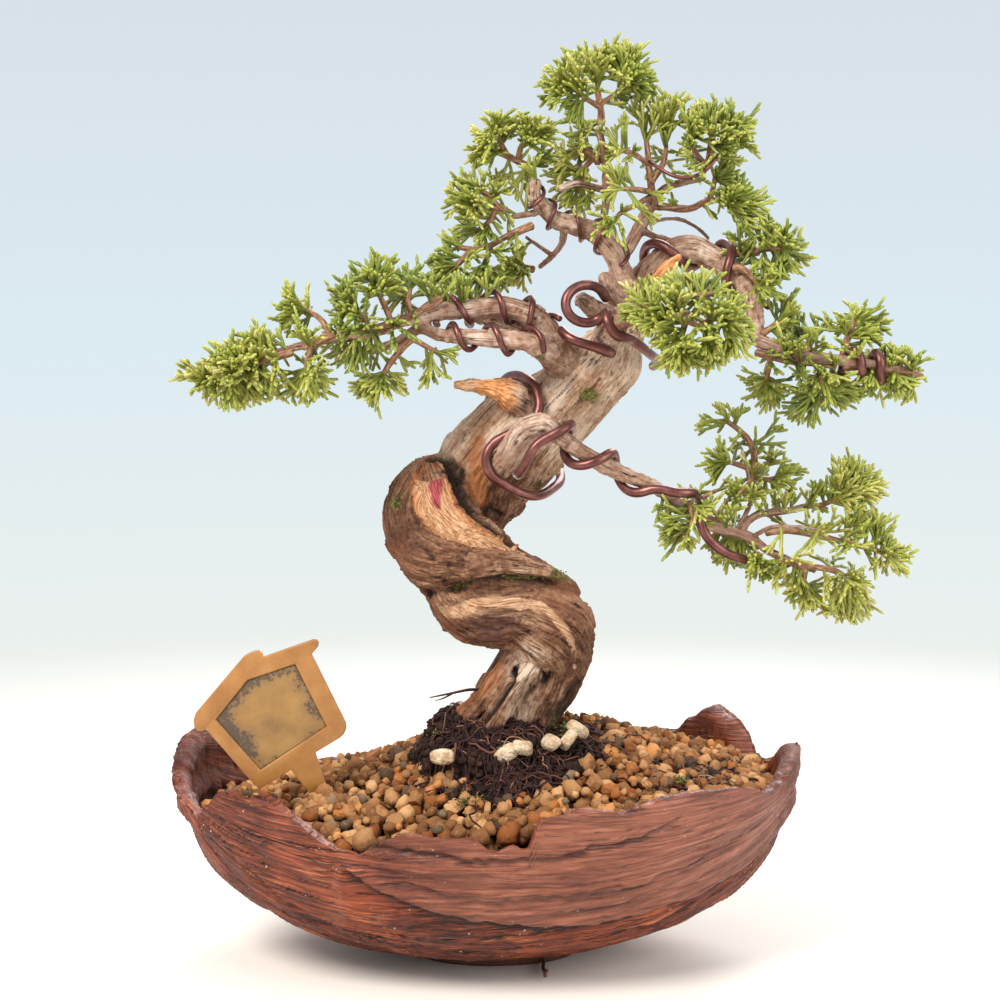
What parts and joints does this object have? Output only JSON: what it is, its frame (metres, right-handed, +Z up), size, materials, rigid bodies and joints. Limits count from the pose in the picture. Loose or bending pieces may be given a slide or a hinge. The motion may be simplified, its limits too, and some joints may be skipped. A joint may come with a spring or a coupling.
{
  "type": "potted bonsai tree",
  "caption": "Small twisted juniper bonsai with wired branches and sprays of green foliage in a ragged bark-like crescent clay pot of granular soil, with a blank plant label.",
  "frame": {"origin": "middle of the pot's flat foot, on the surface that it stands on", "axes": "+Z up, -Y towards the front of the tree, +X to the right seen from the front"},
  "size_m": [0.1928, 0.1092, 0.236],
  "materials": {
    "bark": "flaking reddish-brown bark with bare cream deadwood",
    "foliage": "matt fresh green scale leaves",
    "clay": "unglazed red-brown stoneware, slightly shiny",
    "soil": "dry ochre and orange clay granules",
    "peat": "dark matt peat with fine roots",
    "pumice": "pale matt porous grains",
    "wire": "brown anodised, semi-gloss",
    "label": "amber, slightly translucent, weathered"
  },
  "bodies": {
    "root": {"foliage_apex": "foliage", "foliage_centre": "foliage", "foliage_drop": "foliage", "foliage_far": "foliage", "foliage_farend": "foliage", "foliage_fartop": "foliage", "foliage_farup": "foliage", "foliage_front": "foliage", "foliage_inner": "foliage", "foliage_leftdrop": "foliage", "foliage_leftinner": "foliage", "foliage_leftlow": "foliage", "foliage_leftmid": "foliage", "foliage_leftmiddle": "foliage", "foliage_leftouter": "foliage", "foliage_lowbranch": "foliage", "foliage_lowend": "foliage", "foliage_lowleft": "foliage", "foliage_lowmid": "foliage", "foliage_lowright": "foliage", "foliage_lowtop": "foliage", "foliage_lowtuft": "foliage", "foliage_right": "foliage", "foliage_rightmid": "foliage", "foliage_topright": "foliage", "foliage_under": "foliage", "foliage_upperleft": "foliage", "plant_label": "label", "pot": "clay", "pumice_1": "pumice", "pumice_2": "pumice", "pumice_3": "pumice", "pumice_4": "pumice", "pumice_5": "pumice", "pumice_6": "pumice", "root_ball": "peat", "soil": "soil", "tie_wire": "wire", "tree_wood": "bark", "wire_apex": "wire", "wire_crotch": "wire", "wire_far": "wire", "wire_left_a": "wire", "wire_left_b": "wire", "wire_low": "wire", "wire_low_end": "wire", "wire_right": "wire", "wire_tip": "wire", "wire_top": "wire", "wire_trunk": "wire"}
  },
  "joints": []
}
